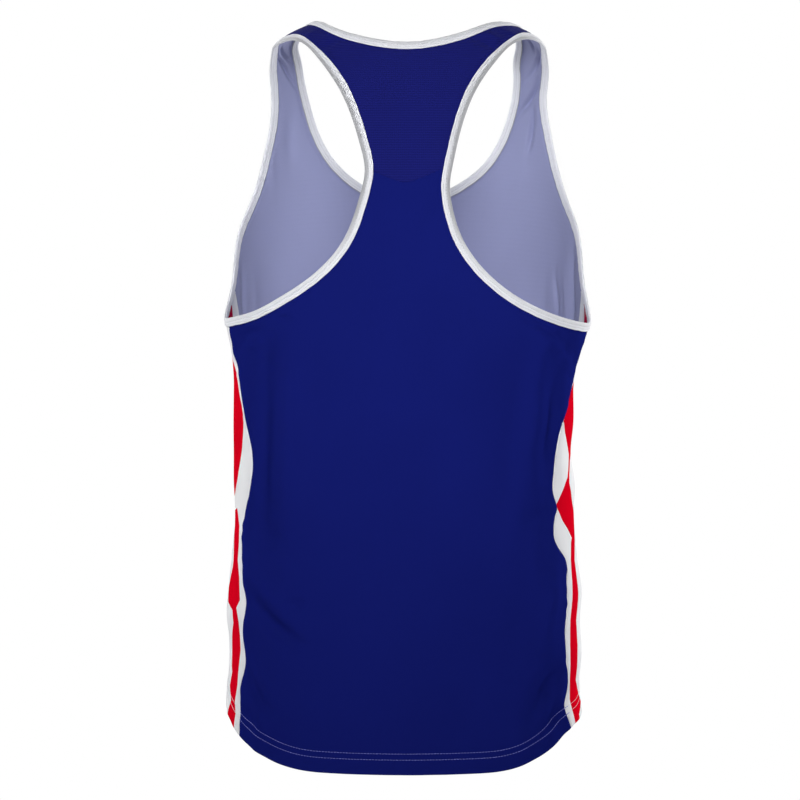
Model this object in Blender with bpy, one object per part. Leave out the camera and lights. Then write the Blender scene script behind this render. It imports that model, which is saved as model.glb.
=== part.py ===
"""Racerback vest, filled out as if worn, open at neck, armholes and hem.

One torso form carries every piece.  A place on the form is a turn round the
body (degrees, 0 centre back, 90 the wearer's side, 180 centre front; left is
negative) and a height (mm, 0 at the top of the straps).  Each cut piece is an
outline on that form, filled with cloth of even wall.  Sizes are millimetres.
"""
import bpy
import numpy as np
from mathutils import Vector
from mathutils.geometry import delaunay_2d_cdt

WALL = 1.3            # panel cloth
HEM_WALL = 2.5        # turned-up hem, two layers
HEM_DEEP = 20.0       # depth of the turn-up
SEAM_GAP = 0.3        # between neighbouring pieces
BIND_WIDE = 8.5       # binding, from the edge inwards
BIND_WALL = 1.0       # one leg of the folded binding
BIND_GAP = 0.45       # between a binding leg and the panel
EDGE_GAP = 0.3        # between a panel's cut edge and the fold of its binding
SQUARE = 0.035        # how square the torso section is
GRID = 22.0           # spacing of points inside a panel
STATION = 12.0        # spacing of points along a bound edge
STITCH_STEP = 15.0    # spacing of points along side seams and hem
DEGREE = 3.0          # millimetres laid out for one degree of turn

# torso sections: height, half width left, half width right, front, back
TORSO = [
    (30, 78, 78, 42, 46),
    (14, 88, 94, 56, 62),
    (0, 118, 123, 67, 72),
    (-16, 137, 139, 78, 80),
    (-32, 152, 153, 87, 87),
    (-60, 168, 168, 99, 97),
    (-100, 178, 177, 111, 107),
    (-150, 183, 182, 120, 114),
    (-210, 184, 183.5, 126, 117),
    (-250, 183, 182, 126, 117),
    (-289, 182, 181.5, 126, 116),
    (-312, 177.2, 174.5, 125, 115),
    (-344, 174.2, 166, 122, 113),
    (-389, 174.3, 165, 118, 110),
    (-417, 174, 162.4, 116, 108),
    (-448, 173, 165, 114, 107),
    (-468, 171.2, 164.6, 113, 106),
    (-494, 172.6, 166.5, 112, 105),
    (-527, 175.5, 169.5, 110, 105),
    (-558, 178.6, 173.5, 109, 106),
    (-580, 180.2, 171.8, 109, 106.5),
    (-601, 178.3, 172.6, 109, 107),
    (-625, 178.4, 173, 109, 107.5),
    (-649, 180, 170.3, 109, 108),
    (-677, 182, 173.8, 108, 109),
    (-740, 183, 173, 107, 109),
]

# armhole edge from the shoulder seam down the back and up the front
# turn, height, what it meets there
ARMHOLE_LEFT = [
    (90, -15, "shoulder"),
    (68, -12.5, ""),
    (52, -12.3, ""),
    (38.7, -21.9, ""),
    (25, -48.1, ""),
    (16.9, -85.3, ""),
    (13, -122.4, ""),
    (11.8, -141, "yoke"),
    (13.2, -172.4, ""),
    (17.3, -210.3, ""),
    (24.7, -239.3, ""),
    (35.5, -261.4, ""),
    (50.2, -278.2, ""),
    (62.8, -282.8, ""),
    (76, -284, "back seam"),
    (92, -277.5, ""),
    (100, -263, ""),
    (104.5, -247, "front seam"),
    (108.5, -220, ""),
    (112.5, -196, ""),
    (119, -172, ""),
    (124.8, -146, ""),
    (128.6, -110, ""),
    (129.5, -78, ""),
    (124, -47, ""),
    (112, -28, ""),
    (101, -19, ""),
]
ARMHOLE_RIGHT = [
    (90, -15, "shoulder"),
    (71, -10.8, ""),
    (57, -10.2, ""),
    (42.2, -17.8, ""),
    (28.4, -38.4, ""),
    (19.2, -70.2, ""),
    (14.1, -112.1, ""),
    (12.2, -138.1, "yoke"),
    (11.2, -157.1, ""),
    (11.8, -181.9, ""),
    (14.9, -213.3, ""),
    (21.7, -242.8, ""),
    (29.8, -262.8, ""),
    (42.6, -279.4, ""),
    (61.5, -288, ""),
    (80.5, -288, "back seam"),
    (92, -280, ""),
    (99.5, -262, ""),
    (103.5, -243, "front seam"),
    (107, -219, ""),
    (111.5, -192, ""),
    (119.4, -160, ""),
    (124.6, -126, ""),
    (127, -90, ""),
    (126.3, -62, ""),
    (119, -40, ""),
    (108, -26, ""),
    (98, -18.5, ""),
]

# neck edge all round: turn, height left, height right
NECK = [
    (0, -17.6, -17.6),
    (8, -16, -15.2),
    (18, -10.9, -8.8),
    (33, -1.3, 1.4),
    (47, 5.3, 6),
    (60, 8.3, 7.3),
    (75, 10.4, 8),
    (90, 10, 7.6),
    (105, 6, 5.5),
    (121, -4.5, 0),
    (137.8, -28, -28),
    (145, -51, -62),
    (151, -83, -95),
    (157, -112, -119.5),
    (166, -138.5, -141),
    (180, -156, -156),
]

# yoke seam across the back: turn, height (its ends are on the armholes)
YOKE = [(-9, -146.5), (-5, -152.5), (-1.3, -156.5), (3, -153), (8.7, -144)]

# side seams: height, turn of back seam left, right, of front seam left, right
SEAMS = [
    (-280, None, None, 112, 108.5),
    (-300, 77, 82.5, 112, 109.2),
    (-320, 78.5, 84.5, 112, 109.8),
    (-342, 71.1, 85.5, 111.6, 110.5),
    (-356, 68.3, 75.5, 111.7, 111.2),
    (-372, 65.3, 69.6, 114, 113.8),
    (-390, 61.8, 63, 117, 117),
    (-410, 58.3, 61, 120.2, 120.5),
    (-436, 58, 57.7, 121.5, 122.8),
    (-456, 61.5, 55.8, 120.2, 123),
    (-469, 65, 58.8, 118.5, 122.6),
    (-482, 67.8, 56, 116.6, 121.8),
    (-496, 68.7, 54.5, 115, 121),
    (-510, 67.1, 57.5, 114.8, 119.4),
    (-524, 65.1, 63.6, 115.3, 117.3),
    (-545, 61.7, 60.6, 118.5, 117.2),
    (-566, 57.9, 60.6, 121, 118.5),
    (-596, 61.5, 59.4, 120.8, 120.8),
    (-622, 59.6, 60.4, 120, 120.6),
    (-648, 62.9, 63, 119.5, 119.5),
    (-664, 61.8, 60.1, 118.6, 118.4),
]
# where the same seams reach the hem
SEAM_FEET = (61.5, 62.5, 117.5, 117)

# hem edge: turn, height left, height right
HEM = [
    (0, -724, -724),
    (20, -723, -723),
    (30, -721, -720.5),
    (40, -715, -712),
    (51, -704, -699),
    (62, -692, -686),
    (74, -678, -679.5),
    (90, -669, -674),
    (106, -678, -679),
    (119, -693, -690),
    (130, -705, -703),
    (142, -716, -716),
    (160, -723, -723),
    (180, -725, -725),
]

# largest folds: turn, height, half width, half length, lean, height of fold
FOLDS = [
    (-41, -410, 15, 95, 2, 3.0),
    (-54, -470, 14, 60, 8, -3.0),
    (-43, -585, 11, 34, -52, -3.5),
    (-48, -680, 12, 40, 12, 2.5),
    (44, -440, 15, 110, -2, 3.0),
    (57, -400, 12, 55, -4, -3.0),
    (52, -660, 12, 42, -18, -3.5),
    (-70, -322, 9, 34, 62, -2.5),
    (70, -322, 9, 34, -62, -2.5),
    (-90, -540, 16, 60, 0, 1.5),
    (143, -330, 15, 90, 4, -3.0),
    (-140, -350, 15, 100, -6, -3.0),
    (128, -560, 15, 90, -6, 3.0),
    (-131, -590, 14, 80, 7, 3.0),
    (172, -420, 18, 120, 3, 2.5),
]


def spline(at, values):
    """Smooth curve through a table, as a function."""
    at = np.asarray(at, float)
    order = np.argsort(at)
    at, values = at[order], np.asarray(values, float)[order]
    n, gap = len(at), np.diff(at)
    left, right = np.eye(n), np.zeros((n,) + values.shape[1:])
    for i in range(1, n - 1):
        left[i, i - 1:i + 2] = gap[i - 1], 2 * (gap[i - 1] + gap[i]), gap[i]
        right[i] = 6 * ((values[i + 1] - values[i]) / gap[i]
                        - (values[i] - values[i - 1]) / gap[i - 1])
    bend = np.linalg.solve(left, right)

    def curve(x):
        x = np.clip(np.asarray(x, float), at[0], at[-1])
        i = np.clip(np.searchsorted(at, x) - 1, 0, n - 2)
        shape = x.shape + (1,) * (values.ndim - 1)
        g = gap[i].reshape(shape)
        a, b = (at[i + 1] - x).reshape(shape), (x - at[i]).reshape(shape)
        return ((bend[i] * a ** 3 + bend[i + 1] * b ** 3) / (6 * g)
                + (values[i] / g - bend[i] * g / 6) * a
                + (values[i + 1] / g - bend[i + 1] * g / 6) * b)
    return curve


torso = spline([row[0] for row in TORSO], [row[1:] for row in TORSO])


def height_to_v(height):
    over = np.maximum(np.asarray(height, float) + 80, 0)
    return height + 0.0032 * over ** 2


def v_to_height(v):
    over = np.maximum(np.asarray(v, float) + 80, 0)
    return np.where(np.asarray(v) > -80, -80 + (np.sqrt(1 + 0.0128 * over) - 1) / 0.0064, v)


def place(uv):
    """Points of the form, for laid-out places (degrees times DEGREE, v)."""
    turn = np.asarray(uv[..., 0]) / DEGREE
    height = v_to_height(uv[..., 1])
    angle = np.radians(turn - 90)
    c, s = np.cos(angle), np.sin(angle)
    size = torso(height)
    wide = np.where(c >= 0, size[..., 1], size[..., 0])
    deep = np.where(s >= 0, size[..., 2], size[..., 3])
    x = wide * ((1 + 4 * SQUARE) * c - 4 * SQUARE * c ** 3)
    y = deep * ((1 + SQUARE) * s + SQUARE * np.sin(3 * angle))
    out_x, out_y = c / wide, s / deep
    length = np.hypot(out_x, out_y)
    push = np.zeros_like(x)
    for at, level, half, long, lean, rise in FOLDS:
        across = ((turn - at + 180) % 360 - 180) * 2.8
        up = height - level
        k, m = np.cos(np.radians(lean)), np.sin(np.radians(lean))
        push += rise * np.exp(-((across * k - up * m) / half) ** 2
                              - ((across * m + up * k) / long) ** 2)
    return np.stack([x + push * out_x / length, y + push * out_y / length, height], -1)


def frame(uv):
    """Point, the two directions along the layout, and outward normal."""
    d = 0.05
    du, dv = np.array([d, 0]), np.array([0, d])
    along = (place(uv + du) - place(uv - du)) / (2 * d)
    up = (place(uv + dv) - place(uv - dv)) / (2 * d)
    normal = np.cross(along, up)
    return place(uv), along, up, normal / np.linalg.norm(normal, axis=-1, keepdims=True)


def layout(turn, height):
    return np.stack([np.asarray(turn, float) * DEGREE, height_to_v(height)], -1)


def even(line, spacing):
    """Points along a layout line, evenly spaced on the form, ends kept."""
    solid = place(line)
    run = np.concatenate([[0], np.cumsum(np.linalg.norm(np.diff(solid, axis=0), axis=1))])
    count = max(2, int(round(run[-1] / spacing)) + 1)
    at = np.linspace(0, run[-1], count)
    return np.stack([np.interp(at, run, line[:, k]) for k in (0, 1)], -1)


def through(points, closed=False):
    """Smooth layout line through table rows; returns a function of row number."""
    points = np.asarray(points, float)
    n = len(points)
    if closed:
        points = np.concatenate([points, points, points])
    run = np.concatenate([[0], np.cumsum(np.linalg.norm(np.diff(points, axis=0), axis=1))])
    curve = spline(run, points)

    def part(first, last):
        shift = n if closed else 0
        return curve(np.linspace(run[first + shift], run[last + shift], 240))
    return part


def inward(line, closed, distance):
    """Move a layout line to its left by distances measured on the form.

    One distance for each stretch between points; a corner keeps both of its own.
    """
    n = len(line)
    distance = np.broadcast_to(np.asarray(distance, float), (n,))
    _, along, up, _ = frame(line)
    moved = np.array(line, float)
    for i in range(n):
        x = along[i] / np.linalg.norm(along[i])
        skew = up[i] @ x
        # layout steps to flat steps on the form at this point
        local = np.array([[np.linalg.norm(along[i]), skew],
                          [0, np.linalg.norm(up[i] - skew * x)]])
        normals = []
        for a, b, d in ((i - 1, i, distance[i - 1]), (i, i + 1, distance[i])):
            if not closed and (a < 0 or b >= n):
                continue
            step = line[b % n] - line[a % n]
            step[0] -= 360 * DEGREE * round(step[0] / (360 * DEGREE))
            t = local @ step
            t /= np.linalg.norm(t)
            normals.append((np.array([-t[1], t[0]]), d))
        corner = len(normals) == 2 and abs(np.cross(normals[0][0], normals[1][0])) > 0.35
        if corner:
            shift = np.linalg.solve(np.array([normals[0][0], normals[1][0]]),
                                    np.array([normals[0][1], normals[1][1]]))
        else:
            mean = sum(v for v, _ in normals)
            mean /= np.linalg.norm(mean)
            shift = mean * sum(d for _, d in normals) / len(normals)
        moved[i] += np.linalg.solve(local, shift)
    return moved


def sections(rows, side, spacing):
    """Armhole loop cut at what it meets: shoulder, yoke, back and front seam."""
    points = [layout(side * t, h) for t, h, _ in rows]
    marks = [i for i, row in enumerate(rows) if row[2]] + [len(rows)]
    part = through(points, closed=True)
    return [even(part(a, b), spacing) for a, b in zip(marks, marks[1:])]


def join(*lines):
    """Lines end to end, without repeating the shared points."""
    return np.concatenate([line[:-1] for line in lines])


def hem_at(turn):
    """Height of the hem at a turn (left negative, front beyond 180 is left)."""
    turn = (np.asarray(turn, float) + 180) % 360 - 180
    both = hem_curve(np.abs(turn))
    return np.where(turn < 0, both[..., 0], both[..., 1])


hem_curve = spline([row[0] for row in HEM], [row[1:] for row in HEM])


def hem_line(first, last, above=0.0):
    """Hem, or a line a set distance above it, from one turn to another."""
    turn = np.linspace(first, last, 200)
    low = layout(turn, hem_at(turn))
    if not above:
        return low
    solid = place(low)
    run = np.gradient(solid, axis=0)
    slope = run[:, 2] / np.hypot(run[:, 0], run[:, 1])
    return low + np.stack([np.zeros_like(turn), above * np.sqrt(1 + slope ** 2)], -1)


def above_hem(uv):
    """Distance of places above the hem, square to the hem."""
    turn = uv[..., 0] / DEGREE
    step = 0.5
    rise = hem_at(turn + step) - hem_at(turn - step)
    a = place(layout(turn + step, hem_at(turn)))
    b = place(layout(turn - step, hem_at(turn)))
    slope = rise / np.linalg.norm(a - b, axis=-1)
    return (uv[..., 1] - height_to_v(hem_at(turn))) / np.sqrt(1 + slope ** 2)


def seam(column, side, top):
    """Side seam from its armhole point down to the hem."""
    rows = [row for row in SEAMS if row[column] is not None]
    turns = [row[column] * side for row in rows]
    heights = [row[0] for row in rows]
    end = SEAM_FEET[column - 1] * side
    rows = [(top[0] / DEGREE, float(v_to_height(top[1])))]
    rows += list(zip(turns, heights)) + [(end, float(hem_at(end)))]
    line = through([layout(t, h) for t, h in rows])(0, len(rows) - 1)
    return line, end


def outline(parts, gap_of):
    """Closed outline from (line, kind) pairs, each moved in by its kind."""
    loop = join(*[line for line, _ in parts])
    inset = np.concatenate([[gap_of[kind]] * (len(line) - 1) for line, kind in parts])
    return inward(loop, True, inset)


def near(points, line, reach):
    """Which points are closer than reach to a line."""
    close = np.zeros(len(points), bool)
    for p, q in zip(line[:-1], line[1:]):
        d = q - p
        t = np.clip((points - p) @ d / (d @ d), 0, 1)
        close |= np.linalg.norm(points - p - t[:, None] * d, axis=1) < reach
    return close


def inside(points, loop):
    """Which points are inside an outline, by counting crossings."""
    hit = np.zeros(len(points), bool)
    for p, q in zip(loop, np.roll(loop, -1, axis=0)):
        crosses = (p[1] > points[:, 1]) != (q[1] > points[:, 1])
        with np.errstate(divide="ignore", invalid="ignore"):
            x = p[0] + (points[:, 1] - p[1]) * (q[0] - p[0]) / (q[1] - p[1])
        hit ^= crosses & (points[:, 0] < x)
    return hit


def fill(loop, creases, spacing):
    """Triangles inside an outline, kept to the crease lines."""
    closed = np.concatenate([loop, loop[:1]])
    rows = []
    low, high = loop.min(axis=0), loop.max(axis=0)
    for number, v in enumerate(np.arange(low[1] + 3, high[1], spacing * 0.87)):
        u = np.arange(low[0] + (number % 2) * spacing / 2, high[0], spacing)
        rows.append(np.stack([u, np.full_like(u, v)], -1))
    grid = np.concatenate(rows)
    grid = grid[inside(grid, loop)]
    for line, reach in [(closed, 0.6)] + creases:
        grid = grid[~near(grid, line, reach * spacing)]
    vertices = [Vector(p) for p in loop]
    n = len(loop)
    edges = [(i, (i + 1) % n) for i in range(n)]
    for line, _ in creases:
        start = len(vertices)
        vertices += [Vector(p) for p in line]
        edges += [(start + i, start + i + 1) for i in range(len(line) - 1)]
    vertices += [Vector(p) for p in grid]
    points, _, faces, *_ = delaunay_2d_cdt(vertices, edges, [list(range(n))], 1, 1e-4)
    points = np.array([tuple(p) for p in points])
    return points, [tuple(face) for face in faces]


def cloth(name, colour):
    material = bpy.data.materials.new(name)
    material.use_nodes = True
    shader = material.node_tree.nodes["Principled BSDF"]
    shader.inputs["Base Color"].default_value = (*colour, 1)
    shader.inputs["Roughness"].default_value = 0.85
    shader.inputs["Metallic"].default_value = 0
    return material


def mesh(name, vertices, faces, material):
    data = bpy.data.meshes.new(name)
    data.from_pydata([tuple(v / 1000) for v in vertices], [], faces)
    data.validate()
    data.update()
    data.shade_smooth()
    data.set_sharp_from_angle(angle=np.radians(50))
    data.materials.append(material)
    thing = bpy.data.objects.new(name, data)
    bpy.context.scene.collection.objects.link(thing)
    thing.parent = vest
    return thing


def panel(name, material, loop, creases, hem=True, spacing=GRID):
    """Cloth of even wall inside an outline, its outer face on the form."""
    points, faces = fill(loop, creases, spacing)
    area = [np.cross(points[b] - points[a], points[c] - points[a]) for a, b, c in faces]
    faces = [f if s > 0 else f[::-1] for f, s in zip(faces, area)]
    point, _, _, normal = frame(points)
    wall = np.full(len(points), WALL)
    if hem:
        wall[above_hem(points) < HEM_DEEP + 1] = HEM_WALL
    n = len(points)
    used = {(a, b) for f in faces for a, b in zip(f, f[1:] + f[:1])}
    rim = [(b, a, a + n) for a, b in used if (b, a) not in used]
    rim += [(b, a + n, b + n) for a, b in used if (b, a) not in used]
    back = [tuple(i + n for i in f[::-1]) for f in faces]
    solid = np.concatenate([point, point - wall[:, None] * normal])
    keep = sorted({i for f in faces for i in f})
    index = {old: new for new, old in enumerate(keep + [i + n for i in keep])}
    faces = [tuple(index[i] for i in f) for f in faces + back + rim]
    return mesh(name, solid[keep + [i + n for i in keep]], faces, material)


def binding(name, material, loop):
    """Strip folded over an edge: two legs and a rounded fold, all round."""
    half_in = WALL / 2 + BIND_GAP
    half = half_in + BIND_WALL
    section = [(BIND_WIDE, half), (1.4, half), (0.35, 0.62 * half), (0, 0),
               (0.35, -0.62 * half), (1.4, -half), (BIND_WIDE, -half),
               (BIND_WIDE, -half_in), (BIND_WALL, -half_in),
               (BIND_WALL, half_in), (BIND_WIDE, half_in)]
    rings = []
    for deep, out in section:
        at = inward(loop, True, deep) if deep else loop
        point, _, _, normal = frame(at)
        rings.append(point + (out - WALL / 2) * normal)
    n, m = len(loop), len(section)
    vertices = np.concatenate(rings)
    faces = []
    for i in range(m):
        for j in range(n):
            a, b = i * n + j, i * n + (j + 1) % n
            c, d = ((i + 1) % m) * n + (j + 1) % n, ((i + 1) % m) * n + j
            # diagonals run from the edge towards the inner side
            if section[i][0] >= section[(i + 1) % m][0]:
                faces += [(a, d, b), (b, d, c)]
            else:
                faces += [(a, c, b), (a, d, c)]
    return mesh(name, vertices, faces, material)


def ladder(line):
    """Crease lines under a binding: its inner side and a rung at each station."""
    edge = inward(line, False, BIND_WALL + EDGE_GAP)
    deep = inward(line, False, BIND_WIDE)
    rungs = [np.array([edge[i], deep[i]]) for i in range(1, len(line) - 1)]
    return [(deep, 0.55)] + [(rung, 0.3) for rung in rungs]


def build():
    left = sections(ARMHOLE_LEFT, -1, STATION)
    right = sections(ARMHOLE_RIGHT, 1, STATION)
    left_front = [line + [360 * DEGREE, 0] for line in left]

    # from the left shoulder over the back and round the front to it again
    neck_rows = ([(-t, l) for t, l, _ in NECK[::-1] if t < 180]
                 + [(t, r) for t, _, r in NECK[1:]]
                 + [(360 - t, l) for t, l, _ in NECK[-2::-1] if t > 15])
    neck = through([layout(t, h) for t, h in neck_rows])
    stop = [i for i, (t, _) in enumerate(neck_rows) if t in (-90, 90, 270)]
    neck_back = even(neck(stop[0], stop[1]), STATION)[::-1]
    neck_front = even(neck(stop[1], stop[2]), STATION)[::-1]

    yoke_rows = [left[0][-1]] + [layout(t, h) for t, h in YOKE] + [right[0][-1]]
    yoke_seam = even(through(yoke_rows)(0, len(yoke_rows) - 1), STATION)

    back_left, turn_bl = seam(1, -1, left[1][-1])
    back_right, turn_br = seam(2, 1, right[1][-1])
    front_left, turn_fl = seam(3, -1, left[2][-1])
    front_right, turn_fr = seam(4, 1, right[2][-1])
    back_left, back_right, front_left, front_right = (
        even(line, STITCH_STEP) for line in (back_left, back_right, front_left, front_right))

    def shoulder(top, low):
        return even(np.array([low, top]), STATION)

    shoulder_right = shoulder(neck_back[0], right[0][0])
    shoulder_left = shoulder(neck_back[-1], left[0][0])
    gaps = {"seam": SEAM_GAP / 2, "bound": BIND_WALL + EDGE_GAP, "hem": 0.0}

    def foot(first, last, above=0.0):
        return even(hem_line(first, last, above), STITCH_STEP)

    def band(first, last):
        """Top of the turned-up hem: where the wall is thick, then thin."""
        return [(foot(first - 2, last + 2, HEM_DEEP), 0.5),
                (foot(first - 2, last + 2, HEM_DEEP + 2), 0.5)]

    loop = outline([(foot(turn_bl, turn_br), "hem"),
                    (back_right[::-1], "seam"), (right[1][::-1], "bound"),
                    (yoke_seam[::-1], "seam"), (left[1], "bound"),
                    (back_left, "seam")], gaps)
    panel("back_panel", blue_knit, loop, ladder(right[1][::-1]) + ladder(left[1])
          + band(turn_bl, turn_br))

    loop = outline([(yoke_seam, "seam"), (right[0][::-1], "bound"),
                    (shoulder_right, "seam"), (neck_back, "bound"),
                    (shoulder_left[::-1], "seam"), (left[0], "bound")], gaps)
    panel("back_yoke", blue_mesh, loop, ladder(right[0][::-1]) + ladder(neck_back)
          + ladder(left[0]), hem=False, spacing=14)

    turn_fl_out = 360 + turn_fl
    over = np.array([360 * DEGREE, 0])
    loop = outline([(foot(turn_fr, turn_fl_out), "hem"),
                    (front_left[::-1] + over, "seam"),
                    (left_front[3], "bound"), (shoulder_left + over, "seam"),
                    (neck_front, "bound"), (shoulder_right[::-1], "seam"),
                    (right[3][::-1], "bound"), (front_right, "seam")], gaps)
    panel("front_panel", blue_knit, loop, ladder(left_front[3]) + ladder(neck_front)
          + ladder(right[3][::-1]) + band(turn_fr, turn_fl_out))

    loop = outline([(foot(turn_br, turn_fr), "hem"),
                    (front_right[::-1], "seam"), (right[2][::-1], "bound"),
                    (back_right, "seam")], gaps)
    panel("side_panel_right", side_knit, loop, ladder(right[2][::-1])
          + band(turn_br, turn_fr))

    loop = outline([(foot(turn_fl, turn_bl), "hem"),
                    (back_left[::-1], "seam"), (left[2], "bound"),
                    (front_left, "seam")], gaps)
    panel("side_panel_left", side_knit, loop, ladder(left[2]) + band(turn_fl, turn_bl))

    binding("armhole_binding_left", white_strip, join(*left))
    binding("armhole_binding_right", white_strip, join(*right)[::-1])
    binding("neck_binding", white_strip, join(neck_back, neck_front - over))


for thing in list(bpy.data.objects):
    bpy.data.objects.remove(thing)
vest = bpy.data.objects.new("vest", None)
bpy.context.scene.collection.objects.link(vest)
blue_knit = cloth("blue_knit", (0.009, 0.013, 0.155))
blue_mesh = cloth("blue_mesh", (0.011, 0.014, 0.135))
side_knit = cloth("side_knit", (0.68, 0.68, 0.72))
white_strip = cloth("white_strip", (0.72, 0.73, 0.76))
build()
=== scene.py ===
"""Looks of a sleeveless racerback boxing vest, seen from behind, filled out as on a wearer.

Every cloth piece is built here as a thin shell on the same torso form as the solids.
A place on the form is a turn round the body (degrees, 0 centre back, 90 the wearer's
right side, 180 centre front, left is negative) and a height (mm, 0 at the shoulders).
Sizes are millimetres until a mesh is made.
"""

import bpy
import numpy as np
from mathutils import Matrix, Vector
from mathutils.geometry import delaunay_2d_cdt
from mathutils.kdtree import KDTree


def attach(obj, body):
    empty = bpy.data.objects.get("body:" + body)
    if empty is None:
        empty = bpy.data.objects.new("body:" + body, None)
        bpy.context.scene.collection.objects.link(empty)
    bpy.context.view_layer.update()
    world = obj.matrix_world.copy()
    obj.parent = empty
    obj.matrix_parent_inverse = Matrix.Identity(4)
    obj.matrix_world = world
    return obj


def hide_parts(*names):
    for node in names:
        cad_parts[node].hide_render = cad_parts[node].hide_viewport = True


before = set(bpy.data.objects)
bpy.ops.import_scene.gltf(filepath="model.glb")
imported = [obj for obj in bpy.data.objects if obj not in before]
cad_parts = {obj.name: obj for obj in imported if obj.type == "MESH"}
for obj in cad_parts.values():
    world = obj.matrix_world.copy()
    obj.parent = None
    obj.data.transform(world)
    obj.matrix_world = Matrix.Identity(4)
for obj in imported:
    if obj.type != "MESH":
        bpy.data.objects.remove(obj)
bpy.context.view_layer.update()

FINE = 3.2     # spacing of points on the cloth
DENSE = 0.34 * FINE                   # and beside narrow creases
LINE = 2.6     # spacing of points along edges
BIND_STEP = 1.0                # and along bindings
WALL = 0.9            # one layer of knit, as shown
HEM_WALL = 1.9        # turned-up hem, two layers
HEM_DEEP = 21.5       # its depth
BIND_WIDE = 8.5       # binding, from the edge inwards
SQUARE = 0.035        # how square the torso section is
DEGREE = 3.0          # millimetres laid out for one degree of turn
FULL_TURN = 360 * DEGREE
ACROSS = 2.8          # millimetres across a fold for one degree of turn
TOP = -80             # height above which the layout is stretched
STRETCH = 0.0032      # stretch per square millimetre over that height
CORNER = 0.35         # sine of the sharpest bend that isn't a corner
STITCH_ROWS = (13.9, 19.7)            # hem stitching, above the edge
SEAM_LINES = (1.1, 2.4)               # lines kept in the mesh beside a seam
BOUND_LINES = (5.5, 8.6, 9.8, 11.0)   # and beside a bound edge
GROOVE_AT = 9.8       # groove beside a binding, from the bound edge
CREASES_FROM = 8.0    # creases fade out nearer to a bound edge than this
THIN_TO = 8.4         # nearer than this, under the binding, the cloth is thinner
THIN = 0.2            # by this much on each face
BOUND_INSET = 0.7     # cloth ends this far inside its binding's edge

# torso sections: height, half width left, half width right, front, back
TORSO = [
    (30, 78, 78, 42, 46), (14, 88, 94, 56, 62), (0, 118, 123, 67, 72), (-16, 137, 139, 78, 80),
    (-32, 152, 153, 87, 87), (-60, 168, 168, 99, 97), (-100, 178, 177, 111, 107),
    (-150, 183, 182, 120, 114), (-210, 184, 183.5, 126, 117), (-250, 183, 182, 126, 117),
    (-289, 182, 181.5, 126, 116), (-312, 177.2, 174.5, 125, 115), (-344, 174.2, 166, 122, 113),
    (-389, 174.3, 165, 118, 110), (-417, 174, 162.4, 116, 108), (-448, 173, 165, 114, 107),
    (-468, 171.2, 164.6, 113, 106), (-494, 172.6, 166.5, 112, 105), (-527, 175.5, 169.5, 110, 105),
    (-558, 178.6, 173.5, 109, 106), (-580, 180.2, 171.8, 109, 106.5), (-601, 178.3, 172.6, 109, 107),
    (-625, 178.4, 173, 109, 107.5), (-649, 180, 170.3, 109, 108), (-677, 182, 173.8, 108, 109),
    (-740, 183, 173, 107, 109),
]

# armhole edge from the shoulder seam down the back and up the front:
# turn, height, and what it meets there
ARMHOLE_LEFT = [
    (90, -15, "shoulder"), (68, -12.5), (52, -12.3), (38.7, -21.9), (25, -48.1), (16.9, -85.3),
    (13, -122.4), (11.8, -141, "yoke"), (13.2, -172.4), (17.3, -210.3), (24.7, -239.3),
    (35.5, -261.4), (50.2, -278.2), (62.8, -282.8), (76, -284, "back seam"), (92, -277.5),
    (100, -263), (104.5, -247, "front seam"), (108.5, -220), (112.5, -196), (119, -172),
    (124.8, -146), (128.6, -110), (129.5, -78), (124, -47), (112, -28), (101, -19),
]
ARMHOLE_RIGHT = [
    (90, -15, "shoulder"), (71, -10.8), (57, -10.2), (42.2, -17.8), (28.4, -38.4), (19.2, -70.2),
    (14.1, -112.1), (12.2, -138.1, "yoke"), (11.2, -157.1), (11.8, -181.9), (14.9, -213.3),
    (21.7, -242.8), (29.8, -262.8), (42.6, -279.4), (61.5, -288), (80.5, -288, "back seam"),
    (92, -280), (99.5, -262), (103.5, -243, "front seam"), (107, -219), (111.5, -192), (119.4, -160),
    (124.6, -126), (127, -90), (126.3, -62), (119, -40), (108, -26), (98, -18.5),
]

# neck edge all round: turn, height left, height right
NECK = [
    (0, -17.6, -17.6), (8, -16, -15.2), (18, -10.9, -8.8), (33, -1.3, 1.4), (47, 5.3, 6),
    (60, 8.3, 7.3), (75, 10.4, 8), (90, 10, 7.6), (105, 6, 5.5), (121, -4.5, 0), (137.8, -28, -28),
    (145, -51, -62), (151, -83, -95), (157, -112, -119.5), (166, -138.5, -141), (180, -156, -156),
]

# yoke seam across the back: turn, height (its ends are on the armholes)
YOKE = [(-9, -146.5), (-5, -152.5), (-1.3, -156.5), (3, -153), (8.7, -144)]

# side seams: height, turn of back seam left, right, of front seam left, right
SEAMS = [
    (-280, None, None, 112, 108.5), (-300, 77, 82.5, 112, 109.2), (-320, 78.5, 84.5, 112, 109.8),
    (-342, 71.1, 85.5, 111.6, 110.5), (-356, 68.3, 75.5, 111.7, 111.2),
    (-372, 65.3, 69.6, 114, 113.8), (-390, 61.8, 63, 117, 117), (-410, 58.3, 61, 120.2, 120.5),
    (-436, 58, 57.7, 121.5, 122.8), (-456, 61.5, 55.8, 120.2, 123), (-469, 65, 58.8, 118.5, 122.6),
    (-482, 67.8, 56, 116.6, 121.8), (-496, 68.7, 54.5, 115, 121), (-510, 67.1, 57.5, 114.8, 119.4),
    (-524, 65.1, 63.6, 115.3, 117.3), (-545, 61.7, 60.6, 118.5, 117.2),
    (-566, 57.9, 60.6, 121, 118.5), (-596, 61.5, 59.4, 120.8, 120.8), (-622, 59.6, 60.4, 120, 120.6),
    (-648, 62.9, 63, 119.5, 119.5), (-664, 61.8, 60.1, 118.6, 118.4),
]
# where the same seams reach the hem
SEAM_FEET = (61.5, 62.5, 117.5, 117)

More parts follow.
